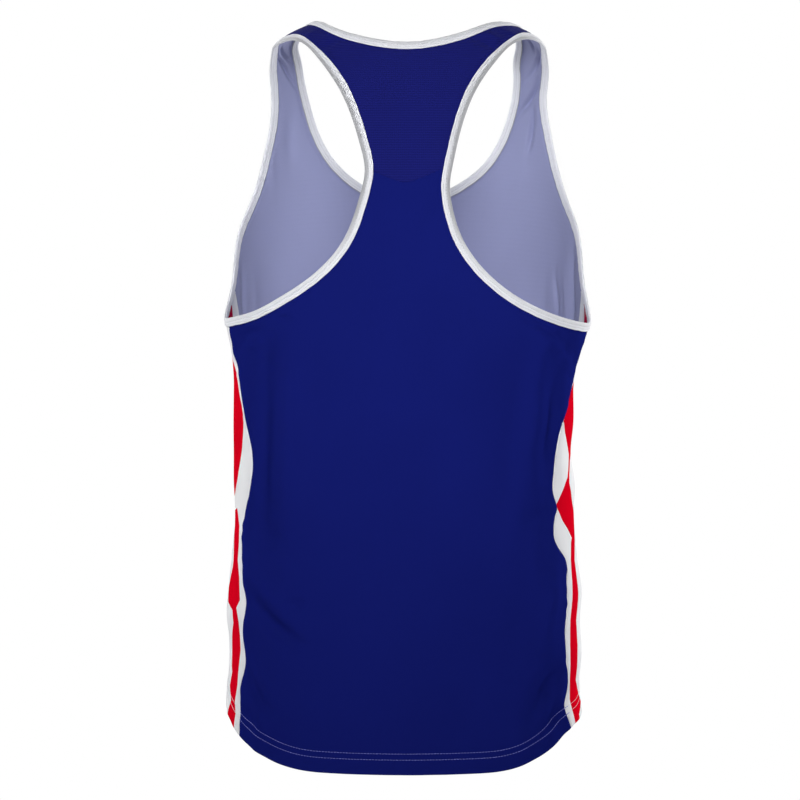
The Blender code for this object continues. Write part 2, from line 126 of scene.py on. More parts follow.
# hem edge: turn, height left, height right
HEM = [
    (0, -724, -724), (20, -723, -723), (30, -721, -720.5), (40, -715, -712), (51, -704, -699),
    (62, -692, -686), (74, -678, -679.5), (90, -669, -674), (106, -678, -679), (119, -693, -690),
    (130, -705, -703), (142, -716, -716), (160, -723, -723), (180, -725, -725),
]

# largest folds: turn, height, half width, half length, lean, height of fold
FOLDS = [
    (-41, -410, 15, 95, 2, 3), (-54, -470, 14, 60, 8, -3), (-43, -585, 11, 34, -52, -3.5),
    (-48, -680, 12, 40, 12, 2.5), (44, -440, 15, 110, -2, 3), (57, -400, 12, 55, -4, -3),
    (52, -660, 12, 42, -18, -3.5), (-70, -322, 9, 34, 62, -2.5), (70, -322, 9, 34, -62, -2.5),
    (-90, -540, 16, 60, 0, 1.5), (143, -330, 15, 90, 4, -3), (-140, -350, 15, 100, -6, -3),
    (128, -560, 15, 90, -6, 3), (-131, -590, 14, 80, 7, 3), (172, -420, 18, 120, 3, 2.5),
]

# smaller creases than the solids have: turn, height, half width, half length,
# lean, rise, and bow where it has one
CREASES = [
    # under the left armhole, on the back
    (-54, -299, 3.4, 13, 80, -2.2), (-53, -310, 5, 16, 76, 1.5), (-38, -286, 3.2, 9, 78, -1.8),
    (-66, -318, 4.5, 20, 74, 1.4), (-47, -322, 5, 26, 50, -1.1), (-72, -334, 3.8, 14, 80, -0.5),
    (-73, -350, 3.8, 13, 84, 0.4),
    # under the right armhole, on the back
    (43.5, -296, 3.6, 24, -68, -2.3), (46, -308, 5.5, 26, -68, 1.4), (62, -316, 4.5, 16, -60, -1.6),
    (68, -326, 4, 16, -74, 0.8), (70, -342, 3.8, 14, -80, -0.8),
    # long soft folds down the back
    (-50, -408, 12.5, 90, 4, -5, 2), (-36.5, -402, 15, 98, 3, 5.4, 2), (-27, -450, 13, 66, 6, 1.2),
    (-47, -500, 13, 17, 88, -5), (-57, -532, 15, 26, -5, 4.6), (-46.5, -553, 10, 31, -58, 4.4),
    (-42, -584, 7.5, 32, -57, -4.6, 2), (-34, -560, 5, 9, 84, -3), (-57, -586, 6.5, 20, 6, 1.6),
    (42.5, -388, 13, 88, 10, 5.4, -2), (56.5, -384, 12, 72, 12, -4.6, -2),
    (33, -400, 14, 80, 8, -1.2), (43, -479, 8, 14, 82, -3.4), (50, -562, 12, 38, 14, 4.4, 2),
    (33, -600, 13, 60, 8, -1.2), (-22, -350, 15, 80, -4, 0.9), (8, -420, 14, 110, 3, -1.1, 3),
    (-6, -560, 16, 90, -5, 1, -3), (18, -650, 13, 55, 8, -1.1), (-20, -662, 13, 55, -7, -1.1),
    # pulls at the lower corners of the back
    (-48, -635, 5.6, 24, -42, 2.4, 3), (-50.5, -650, 5, 24, -45, -3.4, 3),
    (-51, -662, 5, 20, -48, 1.4), (-54, -675, 4.4, 18, -52, -2.8), (-30, -690, 9, 24, 4, 1),
    (44, -624, 8, 30, 45, 1.8), (48.5, -643, 6.2, 33, 50, -4.4, 4), (51.5, -658, 4.4, 25, 55, 2.2, 2),
    (50, -675, 5.6, 29, 60, -4.2, 2), (34, -692, 9, 24, -4, 1),
    # upper back, from the racer corners
    (-20, -215, 7, 38, -40, 1.4), (19, -215, 7, 40, 42, 1.4), (-5, -200, 9, 44, -8, -1),
    (6, -192, 6, 22, 20, -1.5),
    # across the yoke to the straps
    (-30, -20, 5, 24, 62, -1.6), (-47, -10, 4, 20, 74, 1.2), (28, -17, 5, 26, -64, -1.6),
    (33, -9, 4, 22, -70, 1.3), (49, -8, 4, 20, -74, 1.2), (0, -60, 18, 30, 0, 0.8),
    # straps of the front
    (-116, -15.5, 1.4, 32, 80, 3.4), (-125, -26.5, 1.7, 36, 72, 5, 4),
    (-118, -34, 4, 20, 70, -1.2), (-140.8, -96, 7, 26, 9, 2.4), (-133, -120, 5, 30, 10, -1.2),
    (109, -6, 2, 14, -60, 2.8), (118.5, -23, 2.1, 33, -72, 4.6), (133.5, -53, 2.8, 29, -54, 5.4),
    (128, -66, 4, 22, -50, -1.3), (137, -87, 3, 21, -19, 4.6), (143, -125, 6, 30, -20, -1.2),
    # chest, both sides
    (115.5, -250, 6, 44, 1, 3.2), (126.5, -256, 3.4, 20, 6, 2.4), (121, -262, 4, 30, 4, -1.4),
    (134, -275, 6, 36, -6, 1.2), (-116, -256, 5, 34, 4, 1.8), (-125, -268, 6, 36, 8, -1.2),
    (150, -215, 13, 60, -36, 1.5), (-150, -220, 13, 60, 36, 1.5), (180, -230, 15, 60, 0, -1.3),
    # long soft folds down the front
    (160, -480, 13, 120, 4, 2.9, 4), (148, -420, 11, 70, 2, -2.2), (150, -600, 11, 80, -6, -2.2),
    (-160, -500, 12, 110, -4, 2.8, -4), (-150, -420, 11, 80, 5, -2.4), (-172, -620, 13, 80, 3, -1.8),
    (-146, -580, 9, 50, -12, 2), (176, -650, 12, 60, -4, 1.5), (136, -450, 8, 50, 12, 2),
    (-134, -470, 8, 54, -12, 2.1), (134, -548, 7, 26, 60, -2.4, 3), (-133, -300, 5, 26, -52, -1.8),
    (134, -304, 5, 26, 54, -1.8), (130, -655, 5.5, 34, 30, -2.4, 2), (127, -638, 6, 30, 36, 1.9),
    (-130, -660, 5.5, 34, -32, -2.4, 2), (-126, -642, 6, 30, -38, 1.9),
    (-136, -560, 6, 24, -60, -2),
    # sides
    (-96, -330, 6, 26, 30, -1.8), (97, -335, 6, 26, -30, -1.8), (-84, -470, 8, 30, -20, 1.6),
    (86, -455, 7, 28, 24, 1.6), (-98, -600, 8, 40, 10, -2), (98, -590, 8, 44, -10, -2),
    (-80, -640, 5, 24, 48, 1.4), (81, -648, 5, 24, -46, 1.4),
]
NARROW = 3.7          # half width under which a crease has a finer mesh

# red on the side panels: closed outlines as (turn, height) rows, the back half
# from the photo; the front half repeats them
RED_LEFT = [
    [(83, -325), (76, -338), (72, -346), (69, -361), (66.8, -369), (65, -379),
     (64.4, -387), (64.8, -397), (66.4, -414), (69.8, -430), (73.8, -443), (80, -452),
     (90, -468), (98, -440), (102, -415), (103, -388), (100, -355), (97, -326),
     (90, -314)],
    [(80, -472), (76.9, -479), (72.8, -489), (71.1, -506), (70.7, -523), (66.8, -539),
     (65.4, -549), (63.6, -561), (66.7, -569), (63.9, -583), (63.8, -596), (64, -610),
     (65.5, -632), (65.5, -645), (67, -661), (65.4, -673), (66.8, -695), (73, -695),
     (76.5, -675), (72.5, -661), (76.5, -647), (73.5, -633), (75.5, -615),
     (74.5, -598), (70.2, -584), (71.5, -572), (84, -565), (87, -552), (84, -541),
     (80, -531), (79.3, -524), (82.7, -507), (88, -491), (88, -474)],
    [(94, -281), (93, -290), (104, -291), (105, -280), (104.3, -269), (99.5, -270)],
]
RED_RIGHT = [
    [(82, -350), (70.5, -360), (66.9, -375), (64.2, -386), (66.4, -397),
     (73.2, -412), (76, -419), (72, -434), (69.5, -441), (66.5, -446), (57.8, -468),
     (62.5, -483), (67.5, -492), (72.5, -501), (70.8, -505), (68.4, -522),
     (66.5, -538), (64.9, -561), (64.4, -581), (63.1, -605), (63.5, -620),
     (64.3, -639), (65, -659), (66.5, -676), (69, -695), (77, -695), (74, -675),
     (85, -665), (73, -641), (71.7, -621), (72.6, -607), (72.4, -582), (73, -562),
     (73.6, -539), (74.6, -523), (79.7, -504), (84, -478), (72, -447), (73, -439),
     (78, -425), (84, -419), (94, -404), (98, -385), (98, -357), (90, -343)],
    [(102.6, -268), (98, -269), (90, -284), (90, -294), (101.5, -295), (102.2, -285)],
    [(90, -522), (87.6, -532), (86.4, -545), (87.2, -557), (90, -566)],
]


def spline(at, values):
    """Smooth curve through a table, as a function."""
    at = np.asarray(at, float)
    order = np.argsort(at)
    at, values = at[order], np.asarray(values, float)[order]
    n, gap = len(at), np.diff(at)
    left, right = np.eye(n), np.zeros((n,) + values.shape[1:])
    for i in range(1, n - 1):
        left[i, i - 1:i + 2] = gap[i - 1], 2 * (gap[i - 1] + gap[i]), gap[i]
        right[i] = 6 * ((values[i + 1] - values[i]) / gap[i]
                        - (values[i] - values[i - 1]) / gap[i - 1])
    bend = np.linalg.solve(left, right)

    def curve(x):
        x = np.clip(np.asarray(x, float), at[0], at[-1])
        i = np.clip(np.searchsorted(at, x) - 1, 0, n - 2)
        shape = x.shape + (1,) * (values.ndim - 1)
        g = gap[i].reshape(shape)
        a, b = (at[i + 1] - x).reshape(shape), (x - at[i]).reshape(shape)
        return ((bend[i] * a ** 3 + bend[i + 1] * b ** 3) / (6 * g)
                + (values[i] / g - bend[i] * g / 6) * a
                + (values[i + 1] / g - bend[i + 1] * g / 6) * b)
    return curve


torso = spline([row[0] for row in TORSO], [row[1:] for row in TORSO])


def height_to_v(height):
    """Layout coordinate of a height: stretched where the shoulders level out."""
    over = np.maximum(np.asarray(height, float) - TOP, 0)
    return height + STRETCH * over ** 2


def v_to_height(v):
    over = np.maximum(np.asarray(v, float) - TOP, 0)
    return np.where(np.asarray(v) > TOP,
                    TOP + (np.sqrt(1 + 4 * STRETCH * over) - 1) / (2 * STRETCH), v)


def layout(turn, height):
    return np.stack([np.asarray(turn, float) * DEGREE, height_to_v(height)], -1)


def unlaid(uv):
    """Turn and height of laid-out places."""
    return np.asarray(uv[..., 0]) / DEGREE, v_to_height(uv[..., 1])


def wrapped(turn):
    """The same turn, from -180 to 180."""
    return (np.asarray(turn, float) + 180) % 360 - 180


def crease_axes(row, turn, height):
    """Distance from the line of a fold or crease, and along it from its middle."""
    at, level, _, long, lean, _, *bow = row
    across = wrapped(turn - at) * ACROSS
    up = height - level
    k, m = np.cos(np.radians(lean)), np.sin(np.radians(lean))
    along = across * m + up * k
    return across * k - up * m - sum(bow) * (along / long) ** 2, along


def fold_lift(rows, turn, height):
    """Listed folds or creases, as a rise along the normal."""
    lift = np.zeros(np.shape(height))
    for row in rows:
        aside, along = crease_axes(row, turn, height)
        lift += row[5] * np.exp(-(aside / row[2]) ** 2 - (along / row[3]) ** 2)
    return lift


def place(uv):
    """Points of the form, for laid-out places (degrees times DEGREE, v)."""
    turn, height = unlaid(uv)
    angle = np.radians(turn - 90)
    c, s = np.cos(angle), np.sin(angle)
    size = torso(height)
    wide = np.where(c >= 0, size[..., 1], size[..., 0])
    deep = np.where(s >= 0, size[..., 2], size[..., 3])
    x = wide * ((1 + 4 * SQUARE) * c - 4 * SQUARE * c ** 3)
    y = deep * ((1 + SQUARE) * s + SQUARE * np.sin(3 * angle))
    out_x, out_y = c / wide, s / deep
    length = np.hypot(out_x, out_y)
    push = fold_lift(FOLDS, turn, height)
    return np.stack([x + push * out_x / length, y + push * out_y / length, height], -1)


def frame(uv):
    """Point, the two directions along the layout, and outward normal."""
    d = 0.05
    du, dv = np.array([d, 0]), np.array([0, d])
    along = (place(uv + du) - place(uv - du)) / (2 * d)
    up = (place(uv + dv) - place(uv - dv)) / (2 * d)
    normal = np.cross(along, up)
    return place(uv), along, up, normal / np.linalg.norm(normal, axis=-1, keepdims=True)


def run_along(points):
    """Distance of each point from the first one, along their line."""
    return np.concatenate([[0], np.cumsum(np.linalg.norm(np.diff(points, axis=0), axis=1))])


def sample(at, run, points):
    """Points of a line, or what goes with them, at distances along it."""
    return np.stack([np.interp(at, run, column) for column in points.T], -1)


def even(line, spacing):
    """Points along a layout line, evenly spaced on the form, ends kept."""
    run = run_along(place(line))
    count = max(2, int(round(run[-1] / spacing)) + 1)
    return sample(np.linspace(0, run[-1], count), run, line)


def through(points, closed=False):
    """Smooth layout line through table rows; returns a function of row number."""
    points = np.asarray(points, float)
    shift = len(points) if closed else 0
    if closed:
        points = np.concatenate([points, points, points])
    run = run_along(points)
    curve = spline(run, points)

    def part(first, last):
        return curve(np.linspace(run[first + shift], run[last + shift], 240))
    return part


def inward(line, closed, distance):
    """Move a layout line to its left by distances measured on the form.

    One distance for each stretch between points; a corner keeps both of its own.
    """
    n = len(line)
    distance = np.broadcast_to(np.asarray(distance, float), (n,))
    _, along, up, _ = frame(line)
    moved = np.array(line, float)
    for i in range(n):
        x = along[i] / np.linalg.norm(along[i])
        skew = up[i] @ x
        # layout steps to flat steps on the form at this point
        local = np.array([[np.linalg.norm(along[i]), skew],
                          [0, np.linalg.norm(up[i] - skew * x)]])
        sides, moves = [], []
        for a, b, d in ((i - 1, i, distance[i - 1]), (i, i + 1, distance[i])):
            if not closed and (a < 0 or b >= n):
                continue
            step = line[b % n] - line[a % n]
            step[0] -= FULL_TURN * round(step[0] / FULL_TURN)
            t = local @ step
            t /= np.linalg.norm(t)
            sides.append([-t[1], t[0]])
            moves.append(d)
        if len(sides) == 2 and abs(np.cross(*sides)) > CORNER:
            shift = np.linalg.solve(sides, moves)
        else:
            mean = np.sum(sides, axis=0)
            shift = mean / np.linalg.norm(mean) * np.mean(moves)
        moved[i] += np.linalg.solve(local, shift)
    return moved


def sections(rows, side):
    """Armhole loop cut at what it meets: shoulder, yoke, back and front seam."""
    marks = [i for i, row in enumerate(rows) if len(row) > 2] + [len(rows)]
    part = through([layout(side * row[0], row[1]) for row in rows], closed=True)
    return [even(part(a, b), LINE) for a, b in zip(marks, marks[1:])]


def join(*lines):
    """Lines end to end, without repeating the shared points."""
    return np.concatenate([line[:-1] for line in lines])


def hem_at(turn):
    """Height of the hem at a turn (left negative, front beyond 180 is left)."""
    turn = wrapped(turn)
    both = hem_curve(np.abs(turn))
    return np.where(turn < 0, both[..., 0], both[..., 1])


hem_curve = spline([row[0] for row in HEM], [row[1:] for row in HEM])


def hem_line(first, last, above=0.0):
    """Hem, or a line a set distance above it, from one turn to another."""
    turn = np.linspace(first, last, 200)
    low = layout(turn, hem_at(turn))
    if not above:
        return low
    solid = place(low)
    run = np.gradient(solid, axis=0)
    slope = run[:, 2] / np.hypot(run[:, 0], run[:, 1])
    return low + np.stack([np.zeros_like(turn), above * np.sqrt(1 + slope ** 2)], -1)


def above_hem(uv):
    """Distance of places above the hem, square to the hem."""
    turn = uv[..., 0] / DEGREE
    step = 0.5
    rise = hem_at(turn + step) - hem_at(turn - step)
    a = place(layout(turn + step, hem_at(turn)))
    b = place(layout(turn - step, hem_at(turn)))
    slope = rise / np.linalg.norm(a - b, axis=-1)
    return (uv[..., 1] - height_to_v(hem_at(turn))) / np.sqrt(1 + slope ** 2)


def seam(column, side, top):
    """Side seam from its armhole point down to the hem, and its turn at the hem."""
    rows = [(row[column] * side, row[0]) for row in SEAMS if row[column] is not None]
    end = SEAM_FEET[column - 1] * side
    rows = [(top[0] / DEGREE, float(v_to_height(top[1])))] + rows
    rows.append((end, float(hem_at(end))))
    line = through([layout(turn, height) for turn, height in rows])(0, len(rows) - 1)
    return even(line, LINE), end


def inside(points, loop):
    """Which points are inside an outline, by counting crossings."""
    hit = np.zeros(len(points), bool)
    for p, q in zip(loop, np.roll(loop, -1, axis=0)):
        crosses = (p[1] > points[:, 1]) != (q[1] > points[:, 1])
        with np.errstate(divide="ignore", invalid="ignore"):
            x = p[0] + (points[:, 1] - p[1]) * (q[0] - p[0]) / (q[1] - p[1])
        hit ^= crosses & (points[:, 0] < x)
    return hit


def sharp(points):
    """Marks points near the narrow creases, where the mesh is finer."""
    marked = np.zeros(len(points), bool)
    for row in CREASES:
        if row[2] < NARROW:
            aside, along = crease_axes(row, *unlaid(points))
            marked |= (np.abs(aside) < 2.3 * row[2]) & (np.abs(along) < 1.5 * row[3])
    return marked


def lattice(loop, spacing):
    """Points of a triangular grid inside an outline."""
    low, high = loop.min(axis=0), loop.max(axis=0)
    rows = []
    for number, v in enumerate(np.arange(low[1] + 1, high[1], spacing * 0.87)):
        u = np.arange(low[0] + (number % 2) * spacing / 2, high[0], spacing)
        rows.append(np.stack([u, np.full_like(u, v)], -1))
    grid = np.concatenate(rows)
    return grid[inside(grid, loop)]


def nearest(points, line):
    """Distance of each point from the closest point of a line."""
    points, line = (np.pad(rows, ((0, 0), (0, 3 - rows.shape[1]))) for rows in (points, line))
    tree = KDTree(len(line))
    for i, p in enumerate(line):
        tree.insert(p, i)
    tree.balance()
    return np.array([tree.find(p)[2] for p in points])


def fill(loop, lines, patches):
    """Triangles inside an outline, kept to the lines and patch outlines."""
    coarse, dense = lattice(loop, FINE), lattice(loop, DENSE)
    chains = [np.concatenate([loop, loop[:1]])] + lines
    chains += [np.concatenate([patch, patch[:1]]) for patch in patches]
    kept = np.concatenate(chains)
    vertices = [Vector(p) for p in loop]
    edges = [(i, (i + 1) % len(loop)) for i in range(len(loop))]
    for chain in chains[1:]:
        start = len(vertices)
        vertices += [Vector(p) for p in chain]
        edges += [(start + i, start + i + 1) for i in range(len(chain) - 1)]
    # grid points closer than a gap to the kept lines are left out
    for grid, gap in ((coarse[~sharp(coarse)], 0.62), (dense[sharp(dense)], 0.24)):
        vertices += [Vector(p) for p in grid[nearest(grid, kept) > gap * FINE]]
    outside = [list(range(len(loop)))]
    points, _, faces, *_ = delaunay_2d_cdt(vertices, edges, outside, 1, 1e-4)
    points = np.array([tuple(p) for p in points])
    faces = np.array([tuple(face) for face in faces if len(face) == 3])
    a, b, c = (points[faces[:, k]] for k in range(3))
    size = (b - a)[:, 0] * (c - a)[:, 1] - (b - a)[:, 1] * (c - a)[:, 0]
    faces[size < 0] = faces[size < 0][:, ::-1]
    faces = faces[(np.abs(size) > 1e-7) & inside(points[faces].mean(axis=1), loop)]
    used, index = np.unique(faces, return_inverse=True)
    return points[used], index.reshape(faces.shape)


def seam_lift(solid, seams):
    """Groove along the seams, and the pucker that fades away from them."""
    away = nearest(solid, np.concatenate([place(part) for part in seams]))
    along = solid[:, 2] * 0.9 + solid[:, 0] * 0.7 + solid[:, 1] * 0.25
    strength = 0.55 + 0.45 * np.sin(along / 31.0 + 1.3)
    wave = np.sin(along / 2.9 + 1.5 * np.sin(along / 13.0))
    pucker = (0.32 * wave + 0.18 * np.sin(along / 1.7)) * strength
    return -0.5 * np.exp(-(away / 1.2) ** 2) + pucker * np.exp(-away / 4.5)


def hem_lift(above, turn):
    """Turned-up hem: full between its edge and the stitching, drawn in at it."""
    drawn = sum(np.exp(-((above - row) / 1.2) ** 2) for row in STITCH_ROWS)
    full = np.exp(-((above - 7.5) / 5.5) ** 2)
    rope = np.sin(turn * 0.62 + 1.4 * np.sin(turn * 0.11)) * (0.6 + 0.4 * np.sin(turn * 0.23))
    near_edge = np.exp(-(np.maximum(above - 4, 0) / 16) ** 2)
    return 0.30 * full - 0.30 * drawn + 0.30 * rope * near_edge


def mesh(name, vertices, faces, materials, kinds=None, uv=None):
    """A piece of the object from millimetre points."""
    data = bpy.data.meshes.new(name)
    data.from_pydata([tuple(v) for v in np.asarray(vertices) / 1000], [],
                     [tuple(int(i) for i in f) for f in faces])
    for material in materials:
        data.materials.append(material)
    if kinds is not None:
        data.polygons.foreach_set("material_index", np.asarray(kinds, np.int32))
    if uv is not None:
        layer = data.uv_layers.new(name="cloth")
        corner = np.zeros(len(data.loops), np.int32)
        data.loops.foreach_get("vertex_index", corner)
        layer.uv.foreach_set("vector", np.asarray(uv, np.float32)[corner].ravel())
    data.update()
    data.shade_smooth()
    thing = bpy.data.objects.new(name, data)
    bpy.context.scene.collection.objects.link(thing)
    return thing


def shell(name, loop, lines, seams, bound, materials, patches, hem, groove):
    """Cloth inside an outline: outer face, inner face and a rounded rim."""
    points, faces = fill(loop, lines, patches)
    point, _, _, normal = frame(points)
    away = nearest(point, np.concatenate([place(line) for line in bound]))
    held = 1 - np.exp(-(np.maximum(away - CREASES_FROM, 0) / 1.8) ** 2)
    lift = (seam_lift(point, seams) + fold_lift(CREASES, *unlaid(points)) * held
            + groove * np.exp(-(away - GROOVE_AT) ** 2) - curl(points, away))
    snug = THIN * np.clip((THIN_TO - away) / 1.2, 0, 1)
    lift -= snug
    wall = WALL - 2 * snug
    if hem:
        above = above_hem(points)
        lift += hem_lift(above, points[:, 0] / DEGREE) * (above < 60)
        wall += (HEM_WALL - WALL) * np.clip((HEM_DEEP + 0.6 - above) / 1.2, 0, 1)
    outer = point + lift[:, None] * normal
    inner = outer - wall[:, None] * normal

    n = len(points)
    a, b = faces.ravel(), np.roll(faces, -1, axis=1).ravel()
    pairs = set(zip(a.tolist(), b.tolist()))
    rim_edges = [(i, j) for i, j in pairs if (j, i) not in pairs]
    out = np.zeros((n, 3))
    for i, j in rim_edges:
        side = np.cross(outer[j] - outer[i], normal[i])
        side /= np.linalg.norm(side) + 1e-9
        out[i] += side
        out[j] += side
    rim = sorted({i for edge in rim_edges for i in edge})
    number = {i: 2 * n + k for k, i in enumerate(rim)}
    out = out[rim] / (np.linalg.norm(out[rim], axis=1, keepdims=True) + 1e-9)
    middle = (outer[rim] + inner[rim]) / 2 + out * wall[rim][:, None] * 0.42
    rim_faces = []
    for i, j in rim_edges:
        rim_faces += [(j, i, number[i], number[j]),
                      (number[j], number[i], i + n, j + n)]
    kinds = np.zeros(len(faces), int)
    middles = points[faces].mean(axis=1)
    for patch in patches:
        kinds[inside(middles, patch)] = 2
    all_faces = [*faces, *(faces[:, ::-1] + n), *rim_faces]
    kinds = np.concatenate([kinds, kinds + 1, np.zeros(len(rim_faces), int)])
    vertices = np.concatenate([outer, inner, middle])
    uv = np.concatenate([points, points, points[rim]]) / 1000
    return mesh(name, vertices, all_faces, materials, kinds, uv)


# folded binding: distance from its edge, distance out from the middle of the cloth
BIND_SECTION = [
    (8.5, 0.50), (8.65, 0.85), (8.4, 1.24), (7.8, 1.42), (7.1, 1.38), (6.65, 1.22),
    (6.4, 0.98), (6.15, 1.22), (5.6, 1.38), (4.9, 1.38), (4.1, 1.24), (3.8, 0.92),
    (3.5, 1.20), (2.9, 1.38), (2.2, 1.42), (1.4, 1.30), (0.7, 0.98), (0.2, 0.52),
    (0.0, 0.0),
]
BIND_ROWS = (3.8, 6.4)
CHANNEL = 0.47        # half the room between its legs, where the cloth runs
STITCH, STITCH_GAP = 2.9, 0.35        # one stitch with its gap, and the gap
# where an armhole binding rolls over on the shoulder: turn, height, and the
# reach each way, then how much of its width it loses
ROLL_AT = (42, -20)
ROLL_REACH = (16, 28)
ROLL = 0.32
# where it curls inwards at the racer back: the same, then the slope at the edge
# and the depth at which the curl starts
CURL_AT = (22, -100)
CURL_REACH = (26, 58)
CURL = 1.25
CURL_DEEP = 11.0


def fading(uv, middle, reach):
    """Share that fades away from a place on either side of the body."""
    turn, height = unlaid(uv)
    return np.exp(-((np.abs(wrapped(turn)) - middle[0]) / reach[0]) ** 2
                  - ((height - middle[1]) / reach[1]) ** 2)


def rolled(loop):
    """Share of its width that the outer leg of a binding shows along an edge."""
    return 1 - ROLL * fading(loop, ROLL_AT, ROLL_REACH)


def curl(uv, deep):
    """How far an armhole edge curls inwards at the racer back."""
    share = fading(uv, CURL_AT, CURL_REACH)
    return CURL * share * np.maximum(CURL_DEEP - deep, 0) ** 2 / (2 * CURL_DEEP)


def binding(name, loop, material, armhole):
    """Strip folded over an edge, drawn in at its two rows of stitches."""
    inside_leg = [(deep, -out) for deep, out in BIND_SECTION[-2::-1]]
    channel = [(deep, -CHANNEL) for deep in (BIND_WIDE, 4.5, 0.9)]
    channel += [(deep, -out) for deep, out in channel[::-1]]
    section = BIND_SECTION + inside_leg + channel
    inner = inward(loop, True, BIND_WIDE)
    run = run_along(place(np.concatenate([loop, loop[:1]])))
    turns = 2 * np.pi * run[:-1] / run[-1]
    wave = (0.5 * np.sin(turns * 37) + 0.35 * np.sin(turns * 61 + 1)
            + 0.3 * np.sin(turns * 23 + 2))
    puff = 1 + 0.07 * np.sin(turns * 89 + wave) + 0.05 * np.sin(turns * 53)
    rings, flat = [], []
    for deep, out in section:
        shift = deep + 0.16 * wave * (1 if deep > 5 else 0.6) * (abs(out) > 0.5)
        if out > 0 and armhole:
            shift = shift * rolled(loop)
        at = loop + (inner - loop) * (shift / BIND_WIDE)[:, None]
        point, _, _, normal = frame(at)
        level = out * puff - WALL / 2
        if armhole:
            level = level - curl(loop, shift)
        rings.append(point + level[:, None] * normal)
        across = BIND_WIDE - deep if out > 0 else BIND_WIDE + deep
        flat.append(np.stack([run[:-1], np.full(len(loop), across)], -1))
    ring = np.arange(len(section) * len(loop)).reshape(len(section), len(loop))
    after = np.roll(ring, -1, axis=0)
    faces = np.stack([ring, after, np.roll(after, -1, axis=1), np.roll(ring, -1, axis=1)], -1)
    return mesh(name, np.concatenate(rings), faces.reshape(-1, 4), [material],
                uv=np.concatenate(flat) / 1000)


def binding_rows(loop, armhole):
    """The stitch lines of a binding on both faces: points and normals."""
    inner = inward(loop, True, BIND_WIDE)
    rows = []
    for deep in BIND_ROWS:
        for face in (1, -1):
            share = rolled(loop)[:, None] if armhole and face > 0 else 1.0
            at = loop + (inner - loop) * (deep / BIND_WIDE) * share
            point, _, _, normal = frame(at)
            level = face * 1.02 - WALL / 2 - (curl(loop, deep) if armhole else 0)
            rows.append((point + np.multiply(level, normal.T).T, face * normal, True))
    return rows


def stitches(name, rows, material, radius):
    """Short threads laid end to end along rows of points."""
    stations = np.array([0.0, 0.16, 0.84, 1.0]) * (STITCH - STITCH_GAP)
    rises = np.array([-0.16, 0.13, 0.13, -0.16])[:, None, None]
    sizes = np.array([0.35, 1.0, 1.0, 0.35])[:, None, None] * radius
    angles = (np.arange(5) * 2 * np.pi / 5)[:, None]
    vertices, faces = [], []
    for points, normals, closed in rows:
        if closed:
            points = np.concatenate([points, points[:1]])
            normals = np.concatenate([normals, normals[:1]])
        run = run_along(points)
        count = int(run[-1] / STITCH)
        for start in np.arange(count) * run[-1] / count + 0.2:
            p, up = (sample(start + stations, run, values) for values in (points, normals))
            up /= np.linalg.norm(up, axis=1, keepdims=True)
            ahead = p[-1] - p[0]
            ahead /= np.linalg.norm(ahead)
            side = np.cross(ahead, up)[:, None]
            p, up = p[:, None], up[:, None]
            first = len(vertices)
            vertices.extend((p + rises * up + sizes * (np.cos(angles) * side
                                                       + np.sin(angles) * up)).reshape(-1, 3))
            for k in range(3):
                for i in range(5):
                    low, next_low = first + 5 * k + i, first + 5 * k + (i + 1) % 5
                    faces.append((low, next_low, next_low + 5, low + 5))
            faces.append(tuple(first + i for i in range(4, -1, -1)))
            faces.append(tuple(first + 15 + i for i in range(5)))
    return mesh(name, np.array(vertices), faces, [material])


def thread_rows(first, last):
    """Hem stitch lines from one turn to another."""
    rows = []
    for above in STITCH_ROWS:
        line = even(hem_line(first, last, above), LINE)
        point, _, _, normal = frame(line)
        turn, height = unlaid(line)
        lift = hem_lift(np.full(len(line), above), turn) + fold_lift(CREASES, turn, height)
        rows.append((point + (lift + 0.05)[:, None] * normal, normal, False))
    return rows


# ---- materials ----

